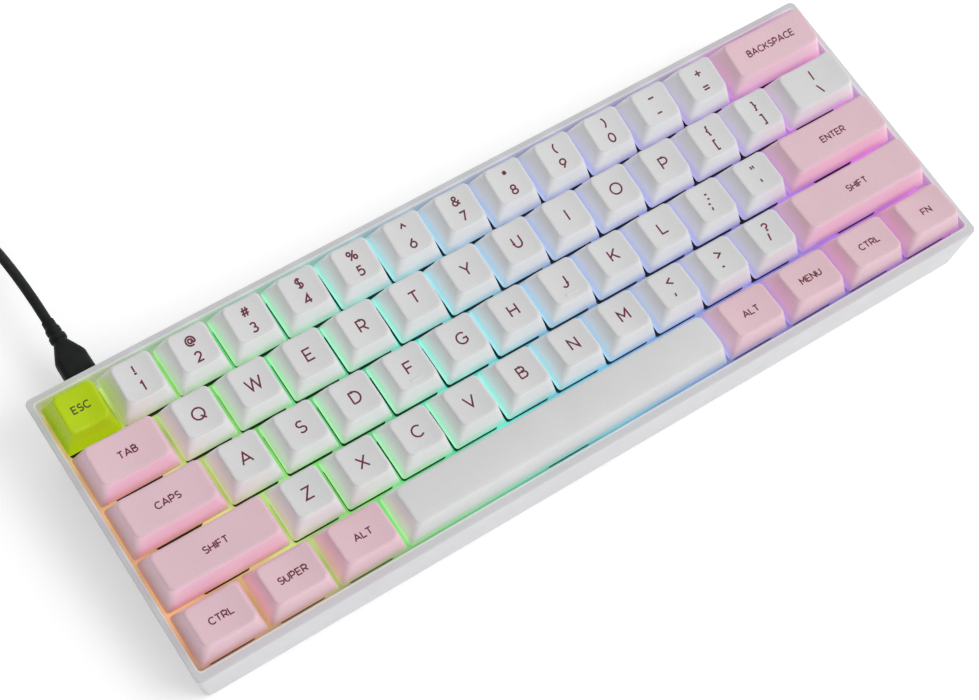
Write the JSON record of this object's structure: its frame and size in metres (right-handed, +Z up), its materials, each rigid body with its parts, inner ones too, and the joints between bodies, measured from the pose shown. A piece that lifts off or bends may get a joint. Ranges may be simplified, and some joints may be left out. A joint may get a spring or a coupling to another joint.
{
  "type": "mechanical keyboard",
  "caption": "Compact mechanical keyboard with sculpted spring-loaded keys in a tray case and a detachable cable at the back.",
  "frame": {"origin": "on the table, under the middle of the case as seen from above, without the cable", "axes": "+Z up, +X to the user's right along the keyboard's length, +Y away from the user towards the cable"},
  "size_m": [0.3366, 0.2381, 0.0415],
  "materials": {
    "case": "fine satin moulded plastic",
    "white_keycap": "fine matt texture",
    "pink_keycap": "fine matt texture",
    "lime_keycap": "translucent tinted plastic",
    "legend": "dyed into the keycap",
    "plate": "white powder coat",
    "circuit_board": "solder mask and black switch housings",
    "rubber_feet": "soft matt",
    "metal": "nickel plated",
    "cable": "soft moulded sleeve"
  },
  "bodies": {
    "chassis": {"case": "case", "front_foot": "rubber_feet", "back_foot": "rubber_feet", "switch_plate": "plate", "circuit_board": "circuit_board", "usb_socket": "metal", "cable_plug": "cable", "cable_lead": "cable", "cable_coil": "cable", "usb_a_plug": "cable"},
    "number_row": {"number_row_keys": "white_keycap"},
    "esc": {"esc_key": "lime_keycap"},
    "backspace": {"backspace_key": "pink_keycap"},
    "tab": {"tab_key": "pink_keycap"},
    "q": {"q_key": "white_keycap"},
    "w": {"w_key": "white_keycap"},
    "e": {"e_key": "white_keycap"},
    "r": {"r_key": "white_keycap"},
    "t": {"t_key": "white_keycap"},
    "y": {"y_key": "white_keycap"},
    "u": {"u_key": "white_keycap"},
    "i": {"i_key": "white_keycap"},
    "o": {"o_key": "white_keycap"},
    "p": {"p_key": "white_keycap"},
    "left_bracket": {"left_bracket_key": "white_keycap"},
    "right_bracket": {"right_bracket_key": "white_keycap"},
    "backslash": {"backslash_key": "white_keycap"},
    "caps_lock": {"caps_lock_key": "pink_keycap"},
    "a": {"a_key": "white_keycap"},
    "s": {"s_key": "white_keycap"},
    "d": {"d_key": "white_keycap"},
    "f": {"f_key": "white_keycap"},
    "g": {"g_key": "white_keycap"},
    "h": {"h_key": "white_keycap"},
    "j": {"j_key": "white_keycap"},
    "k": {"k_key": "white_keycap"},
    "l": {"l_key": "white_keycap"},
    "semicolon": {"semicolon_key": "white_keycap"},
    "quote": {"quote_key": "white_keycap"},
    "enter": {"enter_key": "pink_keycap"},
    "left_shift": {"left_shift_key": "pink_keycap"},
    "z": {"z_key": "white_keycap"},
    "x": {"x_key": "white_keycap"},
    "c": {"c_key": "white_keycap"},
    "v": {"v_key": "white_keycap"},
    "b": {"b_key": "white_keycap"},
    "n": {"n_key": "white_keycap"},
    "m": {"m_key": "white_keycap"},
    "comma": {"comma_key": "white_keycap"},
    "period": {"period_key": "white_keycap"},
    "slash": {"slash_key": "white_keycap"},
    "right_shift": {"right_shift_key": "pink_keycap"},
    "left_ctrl": {"left_ctrl_key": "pink_keycap"},
    "left_super": {"left_super_key": "pink_keycap"},
    "left_alt": {"left_alt_key": "pink_keycap"},
    "space": {"space_key": "white_keycap"},
    "right_alt": {"right_alt_key": "pink_keycap"},
    "menu": {"menu_key": "pink_keycap"},
    "right_ctrl": {"right_ctrl_key": "pink_keycap"},
    "fn": {"fn_key": "pink_keycap"}
  },
  "joints": [
    {"name": "number_row_press", "type": "slide", "parent": "chassis", "child": "number_row", "axis": [0, 0.1045, -0.9945], "range_m": [0, 0.004], "stiffness_N_per_m": 900, "springref_m": -0.0035},
    {"name": "esc_press", "type": "slide", "parent": "chassis", "child": "esc", "axis": [0, 0.1045, -0.9945], "range_m": [0, 0.004], "stiffness_N_per_m": 90, "springref_m": -0.0035},
    {"name": "backspace_press", "type": "slide", "parent": "chassis", "child": "backspace", "axis": [0, 0.1045, -0.9945], "range_m": [0, 0.004], "stiffness_N_per_m": 90, "springref_m": -0.0035},
    {"name": "tab_press", "type": "slide", "parent": "chassis", "child": "tab", "axis": [0, 0.1045, -0.9945], "range_m": [0, 0.004], "stiffness_N_per_m": 90, "springref_m": -0.0035},
    {"name": "q_press", "type": "slide", "parent": "chassis", "child": "q", "axis": [0, 0.1045, -0.9945], "range_m": [0, 0.004], "stiffness_N_per_m": 90, "springref_m": -0.0035},
    {"name": "w_press", "type": "slide", "parent": "chassis", "child": "w", "axis": [0, 0.1045, -0.9945], "range_m": [0, 0.004], "stiffness_N_per_m": 90, "springref_m": -0.0035},
    {"name": "e_press", "type": "slide", "parent": "chassis", "child": "e", "axis": [0, 0.1045, -0.9945], "range_m": [0, 0.004], "stiffness_N_per_m": 90, "springref_m": -0.0035},
    {"name": "r_press", "type": "slide", "parent": "chassis", "child": "r", "axis": [0, 0.1045, -0.9945], "range_m": [0, 0.004], "stiffness_N_per_m": 90, "springref_m": -0.0035},
    {"name": "t_press", "type": "slide", "parent": "chassis", "child": "t", "axis": [0, 0.1045, -0.9945], "range_m": [0, 0.004], "stiffness_N_per_m": 90, "springref_m": -0.0035},
    {"name": "y_press", "type": "slide", "parent": "chassis", "child": "y", "axis": [0, 0.1045, -0.9945], "range_m": [0, 0.004], "stiffness_N_per_m": 90, "springref_m": -0.0035},
    {"name": "u_press", "type": "slide", "parent": "chassis", "child": "u", "axis": [0, 0.1045, -0.9945], "range_m": [0, 0.004], "stiffness_N_per_m": 90, "springref_m": -0.0035},
    {"name": "i_press", "type": "slide", "parent": "chassis", "child": "i", "axis": [0, 0.1045, -0.9945], "range_m": [0, 0.004], "stiffness_N_per_m": 90, "springref_m": -0.0035},
    {"name": "o_press", "type": "slide", "parent": "chassis", "child": "o", "axis": [0, 0.1045, -0.9945], "range_m": [0, 0.004], "stiffness_N_per_m": 90, "springref_m": -0.0035},
    {"name": "p_press", "type": "slide", "parent": "chassis", "child": "p", "axis": [0, 0.1045, -0.9945], "range_m": [0, 0.004], "stiffness_N_per_m": 90, "springref_m": -0.0035},
    {"name": "left_bracket_press", "type": "slide", "parent": "chassis", "child": "left_bracket", "axis": [0, 0.1045, -0.9945], "range_m": [0, 0.004], "stiffness_N_per_m": 90, "springref_m": -0.0035},
    {"name": "right_bracket_press", "type": "slide", "parent": "chassis", "child": "right_bracket", "axis": [0, 0.1045, -0.9945], "range_m": [0, 0.004], "stiffness_N_per_m": 90, "springref_m": -0.0035},
    {"name": "backslash_press", "type": "slide", "parent": "chassis", "child": "backslash", "axis": [0, 0.1045, -0.9945], "range_m": [0, 0.004], "stiffness_N_per_m": 90, "springref_m": -0.0035},
    {"name": "caps_lock_press", "type": "slide", "parent": "chassis", "child": "caps_lock", "axis": [0, 0.1045, -0.9945], "range_m": [0, 0.004], "stiffness_N_per_m": 90, "springref_m": -0.0035},
    {"name": "a_press", "type": "slide", "parent": "chassis", "child": "a", "axis": [0, 0.1045, -0.9945], "range_m": [0, 0.004], "stiffness_N_per_m": 90, "springref_m": -0.0035},
    {"name": "s_press", "type": "slide", "parent": "chassis", "child": "s", "axis": [0, 0.1045, -0.9945], "range_m": [0, 0.004], "stiffness_N_per_m": 90, "springref_m": -0.0035},
    {"name": "d_press", "type": "slide", "parent": "chassis", "child": "d", "axis": [0, 0.1045, -0.9945], "range_m": [0, 0.004], "stiffness_N_per_m": 90, "springref_m": -0.0035},
    {"name": "f_press", "type": "slide", "parent": "chassis", "child": "f", "axis": [0, 0.1045, -0.9945], "range_m": [0, 0.004], "stiffness_N_per_m": 90, "springref_m": -0.0035},
    {"name": "g_press", "type": "slide", "parent": "chassis", "child": "g", "axis": [0, 0.1045, -0.9945], "range_m": [0, 0.004], "stiffness_N_per_m": 90, "springref_m": -0.0035},
    {"name": "h_press", "type": "slide", "parent": "chassis", "child": "h", "axis": [0, 0.1045, -0.9945], "range_m": [0, 0.004], "stiffness_N_per_m": 90, "springref_m": -0.0035},
    {"name": "j_press", "type": "slide", "parent": "chassis", "child": "j", "axis": [0, 0.1045, -0.9945], "range_m": [0, 0.004], "stiffness_N_per_m": 90, "springref_m": -0.0035},
    {"name": "k_press", "type": "slide", "parent": "chassis", "child": "k", "axis": [0, 0.1045, -0.9945], "range_m": [0, 0.004], "stiffness_N_per_m": 90, "springref_m": -0.0035},
    {"name": "l_press", "type": "slide", "parent": "chassis", "child": "l", "axis": [0, 0.1045, -0.9945], "range_m": [0, 0.004], "stiffness_N_per_m": 90, "springref_m": -0.0035},
    {"name": "semicolon_press", "type": "slide", "parent": "chassis", "child": "semicolon", "axis": [0, 0.1045, -0.9945], "range_m": [0, 0.004], "stiffness_N_per_m": 90, "springref_m": -0.0035},
    {"name": "quote_press", "type": "slide", "parent": "chassis", "child": "quote", "axis": [0, 0.1045, -0.9945], "range_m": [0, 0.004], "stiffness_N_per_m": 90, "springref_m": -0.0035},
    {"name": "enter_press", "type": "slide", "parent": "chassis", "child": "enter", "axis": [0, 0.1045, -0.9945], "range_m": [0, 0.004], "stiffness_N_per_m": 90, "springref_m": -0.0035},
    {"name": "left_shift_press", "type": "slide", "parent": "chassis", "child": "left_shift", "axis": [0, 0.1045, -0.9945], "range_m": [0, 0.004], "stiffness_N_per_m": 90, "springref_m": -0.0035},
    {"name": "z_press", "type": "slide", "parent": "chassis", "child": "z", "axis": [0, 0.1045, -0.9945], "range_m": [0, 0.004], "stiffness_N_per_m": 90, "springref_m": -0.0035},
    {"name": "x_press", "type": "slide", "parent": "chassis", "child": "x", "axis": [0, 0.1045, -0.9945], "range_m": [0, 0.004], "stiffness_N_per_m": 90, "springref_m": -0.0035},
    {"name": "c_press", "type": "slide", "parent": "chassis", "child": "c", "axis": [0, 0.1045, -0.9945], "range_m": [0, 0.004], "stiffness_N_per_m": 90, "springref_m": -0.0035},
    {"name": "v_press", "type": "slide", "parent": "chassis", "child": "v", "axis": [0, 0.1045, -0.9945], "range_m": [0, 0.004], "stiffness_N_per_m": 90, "springref_m": -0.0035},
    {"name": "b_press", "type": "slide", "parent": "chassis", "child": "b", "axis": [0, 0.1045, -0.9945], "range_m": [0, 0.004], "stiffness_N_per_m": 90, "springref_m": -0.0035},
    {"name": "n_press", "type": "slide", "parent": "chassis", "child": "n", "axis": [0, 0.1045, -0.9945], "range_m": [0, 0.004], "stiffness_N_per_m": 90, "springref_m": -0.0035},
    {"name": "m_press", "type": "slide", "parent": "chassis", "child": "m", "axis": [0, 0.1045, -0.9945], "range_m": [0, 0.004], "stiffness_N_per_m": 90, "springref_m": -0.0035},
    {"name": "comma_press", "type": "slide", "parent": "chassis", "child": "comma", "axis": [0, 0.1045, -0.9945], "range_m": [0, 0.004], "stiffness_N_per_m": 90, "springref_m": -0.0035},
    {"name": "period_press", "type": "slide", "parent": "chassis", "child": "period", "axis": [0, 0.1045, -0.9945], "range_m": [0, 0.004], "stiffness_N_per_m": 90, "springref_m": -0.0035},
    {"name": "slash_press", "type": "slide", "parent": "chassis", "child": "slash", "axis": [0, 0.1045, -0.9945], "range_m": [0, 0.004], "stiffness_N_per_m": 90, "springref_m": -0.0035},
    {"name": "right_shift_press", "type": "slide", "parent": "chassis", "child": "right_shift", "axis": [0, 0.1045, -0.9945], "range_m": [0, 0.004], "stiffness_N_per_m": 90, "springref_m": -0.0035},
    {"name": "left_ctrl_press", "type": "slide", "parent": "chassis", "child": "left_ctrl", "axis": [0, 0.1045, -0.9945], "range_m": [0, 0.004], "stiffness_N_per_m": 90, "springref_m": -0.0035},
    {"name": "left_super_press", "type": "slide", "parent": "chassis", "child": "left_super", "axis": [0, 0.1045, -0.9945], "range_m": [0, 0.004], "stiffness_N_per_m": 90, "springref_m": -0.0035},
    {"name": "left_alt_press", "type": "slide", "parent": "chassis", "child": "left_alt", "axis": [0, 0.1045, -0.9945], "range_m": [0, 0.004], "stiffness_N_per_m": 90, "springref_m": -0.0035},
    {"name": "space_press", "type": "slide", "parent": "chassis", "child": "space", "axis": [0, 0.1045, -0.9945], "range_m": [0, 0.004], "stiffness_N_per_m": 90, "springref_m": -0.0035},
    {"name": "right_alt_press", "type": "slide", "parent": "chassis", "child": "right_alt", "axis": [0, 0.1045, -0.9945], "range_m": [0, 0.004], "stiffness_N_per_m": 90, "springref_m": -0.0035},
    {"name": "menu_press", "type": "slide", "parent": "chassis", "child": "menu", "axis": [0, 0.1045, -0.9945], "range_m": [0, 0.004], "stiffness_N_per_m": 90, "springref_m": -0.0035},
    {"name": "right_ctrl_press", "type": "slide", "parent": "chassis", "child": "right_ctrl", "axis": [0, 0.1045, -0.9945], "range_m": [0, 0.004], "stiffness_N_per_m": 90, "springref_m": -0.0035},
    {"name": "fn_press", "type": "slide", "parent": "chassis", "child": "fn", "axis": [0, 0.1045, -0.9945], "range_m": [0, 0.004], "stiffness_N_per_m": 90, "springref_m": -0.0035}
  ]
}
